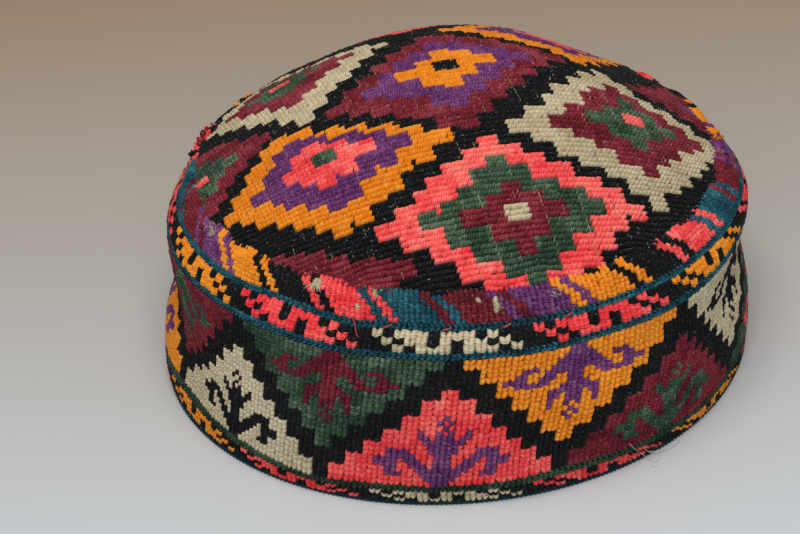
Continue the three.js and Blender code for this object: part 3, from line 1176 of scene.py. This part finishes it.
# Name, colour, turn, millimetres up the cloth, spread in degrees, then length, rise and radius of
# a thread in millimetres, and the number of threads.
TUFTS = [
    ("left_tuft_coral", "coral", -105, 61.5, 6, 1.0, 1.7, 0.32, 16),
    ("left_tuft_maroon", "maroon", -107, 62.0, 6, 1.0, 1.7, 0.32, 16),
    ("left_tuft_black", "black", -102, 62.0, 6, 1.0, 1.6, 0.32, 12),
    ("right_tuft_orange", "orange", 92, 62.0, 1.2, 0.8, 2.2, 0.36, 7),
    ("right_tuft_purple", "purple", 86, 60.5, 4, 0.8, 1.3, 0.30, 12),
    ("left_fuzz", "cream", -31.3, 61.4, 1.3, 1.8, 0.55, 0.08, 34),
    ("blue_block_fuzz", "cream", -18.3, 62.6, 0.9, 1.6, 0.5, 0.08, 14),
    ("middle_fuzz", "cream", 5.2, 59.6, 0.5, 1.6, 0.55, 0.09, 16),
    ("purple_fuzz_left", "cream", -64, 61.8, 2.2, 1.8, 0.6, 0.08, 40),
    ("purple_fuzz_middle", "cream", 15.5, 60.5, 2.6, 1.5, 0.45, 0.06, 22),
]
TUFT_DEPTH = 1.0
ROOT = -0.3
TUFT_TONE_SPREAD = 0.4
for name, colour, tuft_turn, tuft_along, spread, length, rise, radius, count in TUFTS:
    paths, tones = [], []
    for _ in range(count):
        turn = tuft_turn + chance.uniform(-spread, spread)
        along = tuft_along + chance.uniform(-TUFT_DEPTH, TUFT_DEPTH)
        lean = np.degrees(length / BASE_RADIUS) * chance.uniform(-1, 1)
        fall = length * chance.uniform(-1, 0.6)
        top = rise * chance.uniform(0.5, 1.1)
        # A thread leaves the cloth steeply and bends over further out.
        middle = (turn + 0.25 * lean, along + 0.4 * fall, 0.7 * top)
        paths.append([(turn, along, ROOT), middle, (turn + lean, along + fall, top)])
        tones.append(chance.normal(0, TUFT_TONE_SPREAD))
    thread_piece(name, colour, paths, radius, tones, steps=7)

# Three pale fibres hang over the rim and curl on the table.
FIBRES = [
    [(30, 7.5, 0.6), (31, 5.5, 1.3), (32.5, 2.5, 1.1), (34, 0, 1.4)]
    + [(34.6, -1.0, 3.2), (33.8, -1.4, 5.4), (34.8, -1.4, 6.6)],
    [(34, 2.5, 0.6), (35, 1.0, 1.8), (36.5, 1.6, 2.6)]
    + [(37.4, -0.6, 2.2), (36.2, -1.3, 4.0), (34.4, -1.4, 4.6)],
    [(35, 0.5, 0.8), (37.5, -0.5, 1.8), (40, -1.2, 2.6), (42.5, -1.4, 2.0)],
]
thread_piece("stray_fibres", "cream", FIBRES, radius=0.07, tones=[0.9] * len(FIBRES), steps=30)

# %% [markdown]
# ## Table and light
# The cap was photographed on a pale table in soft light from above and behind the camera. The near
# side of the table looks cool and bright and its far side warmer and darker, so a painted fall-off
# of light fades its colour slowly from one to the other. A wide lamp high up gives the soft shadow
# under the front edge, a second one fills it from the front, and a pale world lights the rest.
# %% Table and lamps
# A painted fall-off of light fades the table from near to far, in metres behind the cap's middle.
NEAR = -0.12
FAR = 0.32
TABLE_LIGHT_FALLOFF = [(0.0, "#cfd6db"), (0.42, "#bbb6ae"), (1.0, "#b09472")]
bpy.ops.mesh.primitive_plane_add(size=4.0, location=(0, 0, -0.0001))
table = bpy.context.object
table.name = "pale_table"
table_material, table_tree, table_shader = new_material("pale_table_top", Roughness=0.6)
table_place = add_node(table_tree, "ShaderNodeTexCoord").outputs["Object"]
table_back = add_node(table_tree, "ShaderNodeSeparateXYZ", Vector=table_place).outputs["Y"]
table_depth = add_node(table_tree, "ShaderNodeMapRange", Value=table_back, From_Min=NEAR, From_Max=FAR)
# The table's colour is painted light: cool and bright near the cap, and warmer and darker far behind it.
table_painted_falloff = fade(table_tree, table_depth.outputs["Result"], TABLE_LIGHT_FALLOFF)
table_tree.links.new(table_painted_falloff, table_shader.inputs["Base Color"])
table.data.materials.append(table_material)

world = bpy.data.worlds.new("studio")
bpy.context.scene.world = world
world.use_nodes = True
background = world.node_tree.nodes["Background"]
background.inputs["Color"].default_value = linear("#dfe3ea")
background.inputs["Strength"].default_value = 0.28
bpy.context.scene.view_settings.view_transform = "Standard"

# Name, place and size in metres, power in watts, and sRGB colour.
LAMPS = [
    ("overhead_softbox", (-0.04, -0.25, 0.95), 0.7, 5.6, "#fff8ee"),
    ("front_window", (-0.05, -0.95, 0.8), 0.8, 5.5, "#f2f6ff"),
]
for name, place, size, power, code in LAMPS:
    lamp_data = bpy.data.lights.new(name, "AREA")
    lamp_data.shape = "DISK"
    lamp_data.size = size
    lamp_data.energy = power
    lamp_data.color = linear(code)[:3]
    lamp = bpy.data.objects.new(name, lamp_data)
    lamp.location = place
    aim = Vector((0, 0, 0.04)) - lamp.location
    lamp.rotation_euler = aim.to_track_quat("-Z", "Y").to_euler()
    bpy.context.scene.collection.objects.link(lamp)
print("lamps:", [row[0] for row in LAMPS])

bpy.context.view_layer.update()
